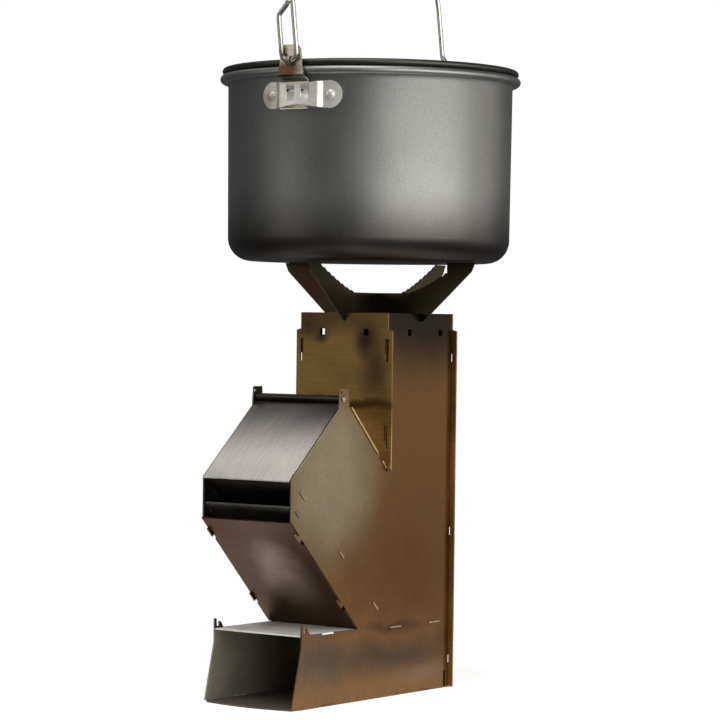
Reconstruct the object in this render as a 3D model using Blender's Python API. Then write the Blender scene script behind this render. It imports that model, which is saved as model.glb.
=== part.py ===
"""Plate rocket stove with a hopper feed, a cross-shaped pot support and a lidded hanging pot.

The stove is a set of flat sheets. The two side plates carry every other plate, either on hooks that
pass through slots or on tabs that rest in slots. The front of the stove faces -Y, the origin is on the
ground under the middle of the chimney, and every length is in metres.
"""

import math

import bmesh
import bpy
from mathutils import Matrix, Vector

# Sheet and fits
SHEET = 0.0012
CLEAR = 0.0003
SLOT = SHEET + 2 * CLEAR

# Chimney
CHIMNEY_WIDTH = 0.080
CHIMNEY_DEPTH = 0.080
STOVE_HEIGHT = 0.280
FLANGE = 0.004
COLLAR_HEIGHT = 0.013
COLLAR_STEP = 0.001
VENT_SIZE = 0.0046
VENT_DROP = 0.0142
FRONT_VENT_OFFSET = 0.020
SIDE_VENT_SPACING = 0.0395
SIDE_VENT_CENTRE = 0.0055

# Ash tray in the foot
TRAY_REACH = 0.100
TRAY_HEIGHT = 0.0524
TRAY_FLARE = 0.010
TRAY_LIP = 0.010
TOE_LIFT = 0.0015
TOE_LENGTH = 0.009
TRAY_BULGE = 0.005
TRAY_PRONG = (
    (0.0100, 0), (0.0065, 0.0048), (0.0048, 0.0038), (0.0055, 0.0012), (0.0024, 0.0012),
    (0.0020, 0.0068), (0, 0.0068),
)
FLOOR_TAB_INSET = 0.030
TRAY_TOP_TAB = 0.0305
TRAY_TOP_INSET = 0.002
FLOOR_INSET = 0.001
FLOOR_STEPS = 10
REAR_FOOT = (0.0345, 0.0370, 0.013)

# Hopper and air inlet
HOPPER_REACH = 0.114
WINDOW_BOTTOM = 0.1332
WINDOW_TOP = 0.162
RIDGE_REACH = 0.059
RIDGE_HEIGHT = 0.2115
RIDGE_WIDTH = 0.0125
THROAT_HEIGHT = 0.1635
CHUTE_FOOT_REACH = 0.0335
EAR_WIDTH = 0.0105
EAR_STEP = 0.001
EAR_HEIGHT = 0.014
EAR_HOLE = 0.0014
EAR_SPARE_HOLE = (-0.002, 0.0046, 0.0011)
SLAT_REACH = 0.0075
SLAT_LIFT = 0.0045
SLAT_WIDTH = 0.0165
SLAT_TAB = 0.0053
CHUTE_PLATE_START = 0.0022
REAR_PLATE_START = 0.0042
REAR_PLATE_FLANGE = 0.0012

# Plates inside the stove
GRATE_HEIGHT = 0.0505
GRATE_TAB = 0.013
GRATE_TAB_SPACING = 0.049
GRATE_TAB_CENTRE = -0.0035
GRATE_INSET = 0.0010
GRATE_SLOTS = 5
GRATE_SLOT_WIDTH = 0.004
GRATE_SLOT_SHARE = 0.62
RAMP_HEAD_INSET = Vector((0.0020, -0.0012))
RAMP_FOOT_REACH = 0.0034
RAMP_TAB = 0.0075
RAMP_TAB_PLACES = (0.093, 0.494, 0.855)
TAB_PROUD = 0.0008

# Hooks: neck height, finger height and the length that stands out past the plate
WALL_HOOK = (0.0055, 0.0055)
SLOPE_HOOK = (0.0040, 0.0040)
HOOK_PROUD = 0.0014
FRONT_HOOKS = (0.187, 0.250)
BACK_HOOKS = (0.024, 0.120, 0.250)
CHUTE_HOOKS = (0.018, 0.088)
REAR_HOOKS = (0.016,)

# Hinge of the hopper lid
PIN_RADIUS = 0.0011
PIN_HEAD = 0.0020
PIN_HEAD_HEIGHT = 0.0010
PIN_SETBACK = 0.0075
LID_OVERHANG = 0.0012
LID_CURL = (-90, 195, 12)

# Pot support
SUPPORT_RISE = 0.0375
SUPPORT_SPAN = 0.0875
SUPPORT_WEB_TOP = 0.015
SUPPORT_WEB_HALF = 0.030
SUPPORT_DROP = 0.016
SUPPORT_FLARE = (0.042, 0.020, 1.25)
SUPPORT_SLOT_PAST = 0.002
SUPPORT_NOTCH = 0.006
SUPPORT_ELBOW = 0.0424
SUPPORT_SHOULDER = (0.0845, 0.031)
WIDE_PAD = 0.063
NARROW_PAD = 0.074
TOOTH_HEIGHT = 0.0009
TOOTH_COUNT = 8
TOOTH_CREST = 0.65

# Pot
POT_PLACE = (-0.0060, -0.0044)
POT_RADIUS = 0.106
POT_TAPER = 0.001
POT_HEIGHT = 0.1345
POT_WALL = 0.0018
POT_CORNER = 0.017
BEAD_RADIUS = 0.0032
BEAD_NECK = 0.0060
POT_LID_EDGE = 0.0024
POT_LID_SHEET = 0.0012
POT_LID_RISE = 0.0104

# Bail, its straps and its ears
EAR_TURN = 8.0
BAIL_TURN = 6.4
BAIL_LEAN = 6.0
EAR_DROP = 0.0172
EAR_LENGTH = 0.065
EAR_END = 0.0098
EAR_WAIST = 0.0076
BRIDGE_HALF = 0.0152
BRIDGE_RAMP = 0.0036
BRIDGE_RISE = 0.0026
RIVET_SPACING = 0.048
RIVET_RADIUS = 0.0034
STRAP_TOP = 0.0180
STRAP_WIDE = 0.011
STRAP_NARROW = 0.0075
WIRE_RADIUS = 0.00175
KEEPER_RADIUS = WIRE_RADIUS + 0.0013
KEEPER_SHEET = 0.0008
KEEPER_WIDTH = 0.0028
LOOP_RADIUS = 0.0062
LOOP_CENTRE = 0.0125
LOOP_STRAIGHT = 0.0255
LOOP_NECK = 0.0365
LOOP_SLANT = 0.0025
LOOP_TIP_GAP = 0.0002
HOOK_TIP = 0.0065
HOOK_STRAIGHT = 0.0030
HOOK_LEG = (-0.0010, 0.0160)
HOOP_START = 0.0465
HOOP_RISE = 0.095

# Ring on the pot lid
RING_HALF = 0.0150
RING_REACH = 0.030
SADDLE_HALF_WIDTH = 0.006
SADDLE_HALF_LENGTH = 0.015
SADDLE_RIVET = 0.0022
SADDLE_RIVET_INSET = 0.0045
SADDLE_KNEE = 0.0016
RING_STEPS = 18
RING_POWER = 0.8

# Values that follow from the sizes above
HALF = CHIMNEY_WIDTH / 2
INNER = HALF - SHEET
PANEL = INNER - CLEAR
FRONT = -CHIMNEY_DEPTH / 2
BACK = CHIMNEY_DEPTH / 2
TRAY_FRONT = FRONT - TRAY_REACH
TOE = TRAY_FRONT - TRAY_FLARE
HOPPER_FRONT = FRONT - HOPPER_REACH
RIDGE = Vector((FRONT - RIDGE_REACH, RIDGE_HEIGHT))
CHUTE_HEAD = Vector((HOPPER_FRONT, WINDOW_BOTTOM))
CHUTE_FOOT = Vector((FRONT - CHUTE_FOOT_REACH, TRAY_HEIGHT))
THROAT = Vector((FRONT, THROAT_HEIGHT))
REAR_HEAD = Vector((RIDGE.x + RIDGE_WIDTH, RIDGE.y))
LID_FOOT = Vector((HOPPER_FRONT, WINDOW_TOP))
RAMP_HEAD = LID_FOOT + RAMP_HEAD_INSET
RAMP_FOOT = Vector((FRONT + RAMP_FOOT_REACH, GRATE_HEIGHT + SHEET))
SLAT_CENTRE = CHUTE_HEAD + Vector((SLAT_REACH, SLAT_LIFT))
CURL_RADIUS = PIN_RADIUS + CLEAR + SHEET / 2
SEAT = STOVE_HEIGHT + SUPPORT_RISE
POT_BASE = SEAT + CLEAR
RIM = POT_BASE + POT_HEIGHT
BEAD_CENTRE = POT_RADIUS + 0.0028
BEAD_OUTER = BEAD_CENTRE + BEAD_RADIUS
STRAP_FACE = BEAD_OUTER + 0.0012
LOOP_DISTANCE = STRAP_FACE + SHEET + 0.0005 + WIRE_RADIUS
TURN_X = math.pi / 2
SIDE_TURN = (TURN_X, 0, TURN_X)
WALL_TURN = (TURN_X, 0, 0)


# ---------------------------------------------------------------- scene, materials and mesh helpers

def clear_scene():
    for item in list(bpy.data.objects):
        bpy.data.objects.remove(item, do_unlink=True)


def make_material(name, colour, roughness, metallic=1.0):
    material = bpy.data.materials.new(name)
    material.use_nodes = True
    shader = material.node_tree.nodes["Principled BSDF"]
    shader.inputs["Base Color"].default_value = (*colour, 1.0)
    shader.inputs["Roughness"].default_value = roughness
    shader.inputs["Metallic"].default_value = metallic
    material.diffuse_color = (*colour, 1.0)
    return material


def add_object(name, bm, material, location=(0, 0, 0), rotation=(0, 0, 0)):
    bmesh.ops.recalc_face_normals(bm, faces=bm.faces)
    mesh = bpy.data.meshes.new(name)
    bm.to_mesh(mesh)
    bm.free()
    mesh.materials.append(material)
    item = bpy.data.objects.new(name, mesh)
    item.location = location
    item.rotation_euler = rotation
    bpy.context.scene.collection.objects.link(item)
    return item


def smooth(item, angle=35.0):
    item.data.shade_smooth()
    item.data.set_sharp_from_angle(angle=math.radians(angle))


def prism(outline, low, high):
    """A closed slab: the outline in local X and Y, between two heights on local Z."""
    bm = bmesh.new()
    bottom = [bm.verts.new((x, y, low)) for x, y in outline]
    top = [bm.verts.new((x, y, high)) for x, y in outline]
    bm.faces.new(bottom[::-1])
    bm.faces.new(top)
    for i, vert in enumerate(bottom):
        after = (i + 1) % len(bottom)
        bm.faces.new((vert, bottom[after], top[after], top[i]))
    return bm


def cut(item, boxes=(), rounds=(), depth=0.01):
    """Subtract boxes (x, y, width, height, turn) and round holes (x, y, radius) through local Z."""
    bm = bmesh.new()
    for x, y, width, height, turn in boxes:
        place = Matrix.Translation((x, y, 0)) @ Matrix.Rotation(turn, 4, "Z")
        bmesh.ops.create_cube(bm, size=1.0, matrix=place @ Matrix.Diagonal((width, height, depth, 1)))
    for x, y, radius in rounds:
        bmesh.ops.create_cone(
            bm, cap_ends=True, segments=16, radius1=radius, radius2=radius, depth=depth,
            matrix=Matrix.Translation((x, y, 0)),
        )
    combine(item, bm, "DIFFERENCE")


def combine(item, bm, operation):
    """Keep a Boolean with a hidden tool object on the item."""
    tool = add_object(item.name + "_" + operation.lower(), bm, item.data.materials[0])
    tool.parent = item
    tool.hide_render = True
    tool.display_type = "WIRE"
    modifier = item.modifiers.new(operation.title(), "BOOLEAN")
    modifier.operation = operation
    modifier.object = tool
    modifier.solver = "EXACT"


def turned(profile, segments):
    """Turn (radius, height) points about Z; points on the axis become single vertices."""
    bm = bmesh.new()
    rings = []
    for radius, height in profile:
        if radius < 1e-7:
            rings.append([bm.verts.new((0, 0, height))])
            continue
        steps = [2 * math.pi * i / segments for i in range(segments)]
        rings.append([bm.verts.new((radius * math.cos(a), radius * math.sin(a), height)) for a in steps])
    pairs = list(zip(rings, rings[1:]))
    if len(rings[0]) > 1:
        pairs.append((rings[-1], rings[0]))
    for first, second in pairs:
        if len(first) == 1 and len(second) == 1:
            continue
        for i in range(segments):
            j = (i + 1) % segments
            corners = [first[i % len(first)], first[j % len(first)]]
            corners += [second[j % len(second)], second[i % len(second)]]
            bm.faces.new(list(dict.fromkeys(corners)))
    return bm


def loft(sections):
    """Join equal loops of points into one closed body with flat ends."""
    bm = bmesh.new()
    loops = [[bm.verts.new(point) for point in section] for section in sections]
    bm.faces.new(loops[0][::-1])
    bm.faces.new(loops[-1])
    for first, second in zip(loops, loops[1:]):
        for i, vert in enumerate(first):
            j = (i + 1) % len(first)
            bm.faces.new((vert, first[j], second[j], second[i]))
    return bm


def arc(centre, radius, start, end, steps):
    """Points on a circle between two angles in degrees, both ends included."""
    angles = [math.radians(start + (end - start) * i / steps) for i in range(steps + 1)]
    return [(centre[0] + radius * math.cos(a), centre[1] + radius * math.sin(a)) for a in angles]


def strip_sides(path, thickness):
    """The two sides of a sheet of this thickness whose middle follows the path."""
    points = [Vector(p) for p in path]
    left, right = [], []
    for i, point in enumerate(points):
        before = (point - points[i - 1]).normalized() if i else (points[1] - point).normalized()
        after = (points[i + 1] - point).normalized() if i + 1 < len(points) else before
        bisector = (before + after).normalized()
        normal = Vector((-bisector.y, bisector.x))
        reach = thickness / 2 / max(0.5, bisector.dot(after))
        left.append(tuple(point + normal * reach))
        right.append(tuple(point - normal * reach))
    return left, right


def wire(name, points, radius, material, cyclic=False, location=(0, 0, 0), rotation=(0, 0, 0)):
    curve = bpy.data.curves.new(name, "CURVE")
    curve.dimensions = "3D"
    curve.bevel_depth = radius
    curve.bevel_resolution = 2
    curve.use_fill_caps = not cyclic
    spline = curve.splines.new("POLY")
    spline.points.add(len(points) - 1)
    for slot, point in zip(spline.points, points):
        slot.co = (*point, 1.0)
    spline.use_cyclic_u = cyclic
    spline.use_smooth = True
    curve.materials.append(material)
    item = bpy.data.objects.new(name, curve)
    item.location = location
    item.rotation_euler = rotation
    bpy.context.scene.collection.objects.link(item)
    return item


# ---------------------------------------------------------------- side plates

def hook(root, up, out, size):
    """Corners of a hook on a plate's edge, from its lower corner to its upper one."""
    neck, finger = size
    gap = SLOT
    tip = gap + HOOK_PROUD
    return [
        root,
        root + out * tip,
        root + out * tip + up * (neck + finger),
        root + out * gap + up * (neck + finger),
        root + out * gap + up * neck,
        root + up * neck,
    ]


def slope(foot, head):
    """Unit vector up a slope, and the angle it makes with +Y."""
    along = (head - foot).normalized()
    return along, math.atan2(along.y, along.x)


def side_outline():
    """The side plate's outline as (y, z) points, walked anticlockwise from the lower back corner."""
    up = Vector((0, 1))
    points = [Vector((BACK, 0))]
    for height in BACK_HOOKS:
        points += hook(Vector((BACK, height)), up, Vector((1, 0)), WALL_HOOK)
    points += [Vector((BACK, STOVE_HEIGHT)), Vector((FRONT, STOVE_HEIGHT))]
    for height in reversed(FRONT_HOOKS):
        points += hook(Vector((FRONT, height)), up, Vector((-1, 0)), WALL_HOOK)[::-1]
    points.append(THROAT)
    along, _ = slope(THROAT, REAR_HEAD)
    for place in REAR_HOOKS:
        points += hook(THROAT + along * place, along, Vector((along.y, -along.x)), SLOPE_HOOK)
    points += [REAR_HEAD, RIDGE + Vector((EAR_WIDTH + EAR_STEP, 0))]
    points += [RIDGE + Vector((EAR_WIDTH, EAR_HEIGHT)), RIDGE + Vector((EAR_STEP, EAR_HEIGHT))]
    points += [RIDGE, LID_FOOT, CHUTE_HEAD]
    along, _ = slope(CHUTE_FOOT, CHUTE_HEAD)
    for place in CHUTE_HOOKS:
        root = CHUTE_HEAD - along * place
        points += hook(root, along, Vector((-along.y, along.x)), SLOPE_HOOK)[::-1]
    points.append(CHUTE_FOOT)
    points += [Vector((TRAY_FRONT + y, TRAY_HEIGHT + z)) for y, z in TRAY_PRONG]
    points += [
        Vector((TRAY_FRONT, TRAY_HEIGHT - TRAY_LIP)),
        Vector((TOE, TOE_LIFT)),
        Vector((TOE + TOE_LENGTH, 0)),
    ]
    return [tuple(point) for point in points]


def side_cuts():
    """Slots for the tabs of the plates between the sides, the vents and the support's notch."""
    _, turn = slope(RAMP_FOOT, RAMP_HEAD)
    boxes = []
    for place in RAMP_TAB_PLACES:
        spot = RAMP_HEAD.lerp(RAMP_FOOT, place)
        boxes.append((spot.x, spot.y, RAMP_TAB + 2 * CLEAR, SLOT, turn))
    boxes.append((SLAT_CENTRE.x, SLAT_CENTRE.y, SLAT_TAB + 2 * CLEAR, SLOT, turn))
    for y in grate_tabs():
        boxes.append((y, GRATE_HEIGHT, GRATE_TAB + 2 * CLEAR, SLOT, 0))
    for y in floor_tabs():
        boxes.append((y, 0, GRATE_TAB + 2 * CLEAR, 2 * (SHEET + CLEAR), 0))
    boxes.append((TRAY_FRONT + TRAY_TOP_TAB, TRAY_HEIGHT, GRATE_TAB + 2 * CLEAR, 2 * (SHEET + CLEAR), 0))
    boxes.append((0, STOVE_HEIGHT, SLOT, 2 * SUPPORT_NOTCH, 0))
    for side in (-1, 1):
        y = SIDE_VENT_CENTRE + side * SIDE_VENT_SPACING / 2
        boxes.append((y, STOVE_HEIGHT - VENT_DROP, VENT_SIZE, VENT_SIZE, 0))
    low, high, height = REAR_FOOT
    boxes.append(((low + high) / 2, 0, high - low, 2 * height, 0))
    pin = pin_place()
    spare_y, spare_z, spare_radius = EAR_SPARE_HOLE
    rounds = [(pin.x, pin.y, EAR_HOLE), (pin.x + spare_y, pin.y + spare_z, spare_radius)]
    return boxes, rounds


def grate_tabs():
    return (GRATE_TAB_CENTRE - GRATE_TAB_SPACING / 2, GRATE_TAB_CENTRE + GRATE_TAB_SPACING / 2)


def floor_tabs():
    return (TRAY_FRONT + FLOOR_TAB_INSET, BACK - FLOOR_TAB_INSET)


def pin_place():
    """The hinge pin's centre, so that the lid lies along the edges of the side plates."""
    along, _ = slope(LID_FOOT, RIDGE)
    normal = Vector((-along.y, along.x))
    return RIDGE + along * PIN_SETBACK + normal * CURL_RADIUS


def side_plate(name, inner_x, material):
    item = add_object(name, prism(side_outline(), 0, SHEET), material, (inner_x, 0, 0), SIDE_TURN)
    boxes, rounds = side_cuts()
    cut(item, boxes, rounds)
    return item


# ---------------------------------------------------------------- flat plates between and on the sides

def wall_plate(name, y, bottom, hooks, vents, material):
    """A chimney wall that hangs on hooks: narrow above, with a flange past each side below."""
    collar = STOVE_HEIGHT - COLLAR_HEIGHT
    wide = HALF + FLANGE
    right = [(wide, bottom), (wide, collar), (HALF, collar + COLLAR_STEP), (HALF, STOVE_HEIGHT)]
    outline = right + [(-x, height) for x, height in reversed(right)]
    item = add_object(name, prism(outline, -SHEET / 2, SHEET / 2), material, (0, y, 0), WALL_TURN)
    neck, finger = WALL_HOOK
    boxes = [(0, STOVE_HEIGHT, SLOT, 2 * SUPPORT_NOTCH, 0)]
    for height in hooks:
        low = height - finger - CLEAR
        high = height + neck + CLEAR
        for side in (-1, 1):
            boxes.append((side * (HALF - SHEET / 2), (low + high) / 2, SLOT, high - low, 0))
    for x in vents:
        boxes.append((x, STOVE_HEIGHT - VENT_DROP, VENT_SIZE, VENT_SIZE, 0))
    cut(item, boxes)
    return item


def tabbed_outline(low, high, half, tabs, tab_length, proud):
    """A rectangle from low to high on Y with tabs on both sides at the given places."""
    right = [(half, low)]
    for place in tabs:
        near = place - tab_length / 2
        far = place + tab_length / 2
        right += [(half, near), (proud, near), (proud, far), (half, far)]
    right.append((half, high))
    return right + [(-x, y) for x, y in reversed(right)]


def notched_outline(low, high, half, roots, size):
    """A rectangle whose long edges are open at each hook, below the hook's neck as well."""
    neck, finger = size
    right = [(half, low)]
    for root in sorted(roots):
        near = root - finger - CLEAR
        far = root + neck + CLEAR
        right += [(half, near), (PANEL, near), (PANEL, far), (half, far)]
    right.append((half, high))
    return right + [(-x, y) for x, y in reversed(right)]


def sloped_plate(name, outline, foot, turn, low, high, material):
    return add_object(name, prism(outline, low, high), material, (0, foot.x, foot.y), (turn, 0, 0))


def chute_plate(material):
    _, turn = slope(CHUTE_FOOT, CHUTE_HEAD)
    length = (CHUTE_HEAD - CHUTE_FOOT).length
    roots = [length - place for place in CHUTE_HOOKS]
    outline = notched_outline(CHUTE_PLATE_START, length, HALF, roots, SLOPE_HOOK)
    return sloped_plate("lower_chute_plate", outline, CHUTE_FOOT, turn, CLEAR, CLEAR + SHEET, material)


def hopper_rear_plate(material):
    _, turn = slope(THROAT, REAR_HEAD)
    length = (REAR_HEAD - THROAT).length
    half = HALF + REAR_PLATE_FLANGE
    outline = notched_outline(REAR_PLATE_START, length - CLEAR, half, REAR_HOOKS, SLOPE_HOOK)
    return sloped_plate("hopper_rear_plate", outline, THROAT, turn, -CLEAR - SHEET, -CLEAR, material)


def fuel_ramp(material):
    _, turn = slope(RAMP_FOOT, RAMP_HEAD)
    length = (RAMP_HEAD - RAMP_FOOT).length
    tabs = sorted(length * (1 - place) for place in RAMP_TAB_PLACES)
    outline = tabbed_outline(0, length, PANEL, tabs, RAMP_TAB, HALF + TAB_PROUD)
    return sloped_plate("fuel_ramp", outline, RAMP_FOOT, turn, -SHEET / 2, SHEET / 2, material)


def air_slat(material):
    _, turn = slope(RAMP_FOOT, RAMP_HEAD)
    half = SLAT_WIDTH / 2
    outline = tabbed_outline(-half, half, PANEL, [0], SLAT_TAB, HALF + TAB_PROUD)
    return sloped_plate("air_inlet_slat", outline, SLAT_CENTRE, turn, -SHEET / 2, SHEET / 2, material)


def burn_grate(material):
    low = RAMP_FOOT.x + GRATE_INSET
    high = BACK - CLEAR
    outline = tabbed_outline(low, high, PANEL, grate_tabs(), GRATE_TAB, HALF + TAB_PROUD)
    item = add_object("burn_grate", prism(outline, -SHEET / 2, SHEET / 2), material, (0, 0, GRATE_HEIGHT))
    length = (high - low) * GRATE_SLOT_SHARE
    pitch = 2 * PANEL / (GRATE_SLOTS + 1)
    middle = (low + high) / 2
    places = [pitch * (i - (GRATE_SLOTS - 1) / 2) for i in range(GRATE_SLOTS)]
    cut(item, [(x, middle, GRATE_SLOT_WIDTH, length, 0) for x in places])
    return item


def tray_top(material):
    low = TRAY_FRONT + CLEAR
    high = CHUTE_FOOT.x - TRAY_TOP_INSET
    outline = tabbed_outline(low, high, PANEL, [TRAY_FRONT + TRAY_TOP_TAB], GRATE_TAB, HALF)
    return add_object("tray_top_plate", prism(outline, -SHEET, 0), material, (0, 0, TRAY_HEIGHT))


def tray_floor(material):
    low = TOE + FLOOR_INSET
    outline = tabbed_outline(low, BACK - CLEAR, PANEL, floor_tabs(), GRATE_TAB, HALF)
    bulge = [(-PANEL + 2 * PANEL * i / FLOOR_STEPS) for i in range(1, FLOOR_STEPS)]
    outline += [(x, low - TRAY_BULGE * (1 - (x / PANEL) ** 2)) for x in bulge]
    return add_object("tray_floor", prism(outline, 0, SHEET), material)


# ---------------------------------------------------------------- hopper lid

def hinge_pin(material):
    reach = HALF + CLEAR
    end = reach + PIN_HEAD_HEIGHT
    bevel = PIN_HEAD_HEIGHT / 2
    profile = [(0, -end), (PIN_HEAD - bevel, -end), (PIN_HEAD, bevel - end), (PIN_HEAD, -reach)]
    profile.append((PIN_RADIUS, -reach))
    profile += [(radius, -height) for radius, height in reversed(profile)]
    pin = pin_place()
    item = add_object("hinge_pin", turned(profile, 16), material, (0, pin.x, pin.y), (0, TURN_X, 0))
    smooth(item)
    return item


def hopper_lid(material):
    """A flat lid whose upper edge is curled round the pin; its origin is on the pin's axis."""
    along, turn = slope(LID_FOOT, RIDGE)
    pin = pin_place()
    length = (pin - LID_FOOT).dot(along) + LID_OVERHANG
    path = [(-length, -CURL_RADIUS)] + arc((0, 0), CURL_RADIUS, *LID_CURL)
    left, right = strip_sides(path, SHEET)
    outline = left + right[::-1]
    bm = loft([[(side * PANEL, y, height) for y, height in outline] for side in (-1, 1)])
    item = add_object("hopper_lid", bm, material, (0, pin.x, pin.y), (turn, 0, 0))
    smooth(item)
    return item


# ---------------------------------------------------------------- pot support

def support_curve(radius):
    """Height of an arm's inner edge above the chimney."""
    run, rise, power = SUPPORT_FLARE
    return SUPPORT_WEB_TOP + rise * ((radius - SUPPORT_WEB_HALF) / run) ** power


def support_outline(pad_start):
    inner = [(SUPPORT_WEB_HALF, SUPPORT_WEB_TOP)]
    pitch = (pad_start - SUPPORT_WEB_HALF) / TOOTH_COUNT
    for i in range(TOOTH_COUNT):
        crest = SUPPORT_WEB_HALF + pitch * (i + TOOTH_CREST)
        valley = SUPPORT_WEB_HALF + pitch * (i + 1)
        inner.append((crest, support_curve(crest) + TOOTH_HEIGHT))
        inner.append((valley, support_curve(valley)))
    right = [(PANEL, -SUPPORT_DROP), (PANEL, CLEAR - SUPPORT_NOTCH), (SUPPORT_ELBOW, CLEAR - SUPPORT_NOTCH)]
    right += [SUPPORT_SHOULDER, (SUPPORT_SPAN, SUPPORT_RISE), (pad_start, SUPPORT_RISE)]
    right += inner[::-1]
    return right + [(-r, z) for r, z in reversed(right)]


def support_plate(name, pad_start, turn, slot_low, slot_high, material):
    bm = prism(support_outline(pad_start), -SHEET / 2, SHEET / 2)
    item = add_object(name, bm, material, (0, 0, STOVE_HEIGHT), (TURN_X, 0, turn))
    cut(item, [(0, (slot_low + slot_high) / 2, SLOT, slot_high - slot_low, 0)])
    return item


def pot_supports(material):
    middle = (SUPPORT_WEB_TOP - SUPPORT_DROP) / 2
    bottom = -SUPPORT_DROP - SUPPORT_SLOT_PAST
    top = SUPPORT_WEB_TOP + SUPPORT_SLOT_PAST
    support_plate("support_plate_across", WIDE_PAD, 0, bottom, middle + CLEAR, material)
    support_plate("support_plate_along", NARROW_PAD, TURN_X, middle - CLEAR, top, material)


# ---------------------------------------------------------------- pot and lid

def pot_profile():
    foot = POT_RADIUS - POT_TAPER
    flat = foot - POT_CORNER
    bead = (BEAD_CENTRE, POT_HEIGHT)
    outer = [(0, 0)] + arc((flat, POT_CORNER), POT_CORNER, -90, 0, 7)
    outer += [(POT_RADIUS, POT_HEIGHT - BEAD_NECK)]
    outer += arc(bead, BEAD_RADIUS, -120, 180, 11)
    inner = [(POT_RADIUS - POT_WALL, POT_HEIGHT - BEAD_NECK)]
    inner += arc((flat, POT_CORNER), POT_CORNER - POT_WALL, 0, -90, 6)
    inner += [(0, POT_WALL)]
    return outer + inner


def pot_place(height):
    return (*POT_PLACE, height)


def pot_body(material):
    item = add_object("pot_body", turned(pot_profile(), 72), material, pot_place(POT_BASE))
    smooth(item)
    return item


def pot_lid(material):
    """A plug lid: a rolled edge that rests on the bead, a groove inside the wall and a raised panel."""
    edge = (BEAD_CENTRE - 0.0007, BEAD_RADIUS + CLEAR + POT_LID_EDGE)
    groove = POT_RADIUS - POT_WALL - 0.0018
    path = [
        (0, POT_LID_RISE),
        (0.55 * POT_RADIUS, POT_LID_RISE),
        (groove - 0.0085, 0.0065),
        (groove - 0.0034, -0.0045),
        (groove, -0.0045),
        (groove + 0.0014, 0.0035),
        (edge[0] - POT_LID_EDGE, edge[1] - 0.0003),
    ]
    upper, lower = strip_sides(path, POT_LID_SHEET)
    rim = arc(edge, POT_LID_EDGE, 160, -160, 12)
    profile = upper[:-1] + rim + lower[:-1][::-1]
    item = add_object("pot_lid", turned(profile, 72), material, pot_place(RIM))
    smooth(item)
    return item


def lid_ring_parts(ring_material, plate_material):
    """A folding ring held by a saddle with two rivets in the middle of the lid."""
    top = RIM + POT_LID_RISE + POT_LID_SHEET / 2
    axis = top + CLEAR + WIRE_RADIUS
    straight = [(RING_HALF * (1 - i / 3), 0, 0) for i in range(1, 6)]
    bow = [math.pi * i / RING_STEPS for i in range(RING_STEPS + 1)]
    curve = [(-RING_HALF * math.cos(a), -RING_REACH * math.sin(a) ** RING_POWER, 0) for a in bow]
    wire("lid_ring", straight + curve, WIRE_RADIUS, ring_material, True, pot_place(axis))
    height = WIRE_RADIUS + CLEAR + SHEET / 2
    foot = SADDLE_HALF_LENGTH
    low = -WIRE_RADIUS + SHEET / 2
    knee = height + SADDLE_KNEE
    path = [(-foot, low), (-knee, low)] + arc((0, 0), height, 180, 0, 8) + [(knee, low), (foot, low)]
    left, right = strip_sides(path, SHEET)
    outline = left + right[::-1]
    half = SADDLE_HALF_WIDTH
    bm = loft([[(side * half, y, z) for y, z in outline] for side in (-1, 1)])
    saddle = add_object("lid_saddle", bm, plate_material, pot_place(axis))
    smooth(saddle)
    for index, side in enumerate((-1, 1)):
        y = POT_PLACE[1] + side * (foot - SADDLE_RIVET_INSET)
        spot = (POT_PLACE[0], y, axis + low + SHEET / 2 + CLEAR)
        rivet(f"lid_rivet_{index + 1}", spot, (0, 0, 0), SADDLE_RIVET, plate_material)


def rivet(name, place, rotation, radius, material):
    """A domed head with its flat face at local Z zero."""
    height = radius / 2
    ball = (radius ** 2 + height ** 2) / (2 * height)
    span = math.degrees(math.asin(radius / ball))
    dome = arc((0, height - ball), ball, 90 - span, 90, 4)
    dome[-1] = (0, height)
    item = add_object(name, turned([(0, 0)] + dome, 16), material, place, rotation)
    smooth(item)
    return item


# ---------------------------------------------------------------- ears, straps and bail

def around_pot(turn, radius, height):
    """A point at this radius from the pot's axis; a turn of zero faces -Y and a positive one goes to +X."""
    angle = math.radians(turn)
    return (POT_PLACE[0] + radius * math.sin(angle), POT_PLACE[1] - radius * math.cos(angle), height)


def facing(turn):
    """Rotation that points local X outwards at this turn, with local Z up."""
    return (0, 0, math.radians(turn) - TURN_X)


def ear_half_height(reach):
    """Half the height of the ear at a distance from its middle: round ends and a narrow waist."""
    end = EAR_LENGTH / 2 - EAR_END
    if abs(reach) > end:
        return math.sqrt(max(0, EAR_END ** 2 - (abs(reach) - end) ** 2)) + 0.0002
    share = (1 + math.cos(math.pi * reach / end)) / 2
    return EAR_END + (EAR_WAIST - EAR_END) * share


def bridge_height(reach):
    """How far the ear's middle stands out to make room for the strap."""
    share = (BRIDGE_HALF + BRIDGE_RAMP - abs(reach)) / BRIDGE_RAMP
    return BRIDGE_RISE * min(1, max(0, share))


def pot_ear(name, turn, material):
    inner = POT_RADIUS + CLEAR
    half = EAR_LENGTH / 2
    reaches = sorted({round(half - EAR_END + x, 6) for x in arc_steps(EAR_END, 6)})
    reaches += [BRIDGE_HALF + BRIDGE_RAMP, BRIDGE_HALF, BRIDGE_HALF / 2]
    reaches = sorted(set(reaches))
    reaches = [-r for r in reversed(reaches)] + [0] + reaches
    sections = []
    for reach in reaches:
        tall = ear_half_height(reach)
        low = inner + bridge_height(reach)
        angle = reach / inner
        section = []
        for radius, height in ((low, -tall), (low + SHEET, -tall), (low + SHEET, tall), (low, tall)):
            section.append((radius * math.cos(angle) - inner, radius * math.sin(angle), height))
        sections.append(section)
    place = around_pot(turn, inner, RIM - EAR_DROP)
    item = add_object(name, loft(sections), material, place, facing(turn))
    smooth(item)
    return item


def arc_steps(length, steps):
    return [length * math.sin(math.pi / 2 * i / steps) for i in range(steps + 1)]


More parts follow.
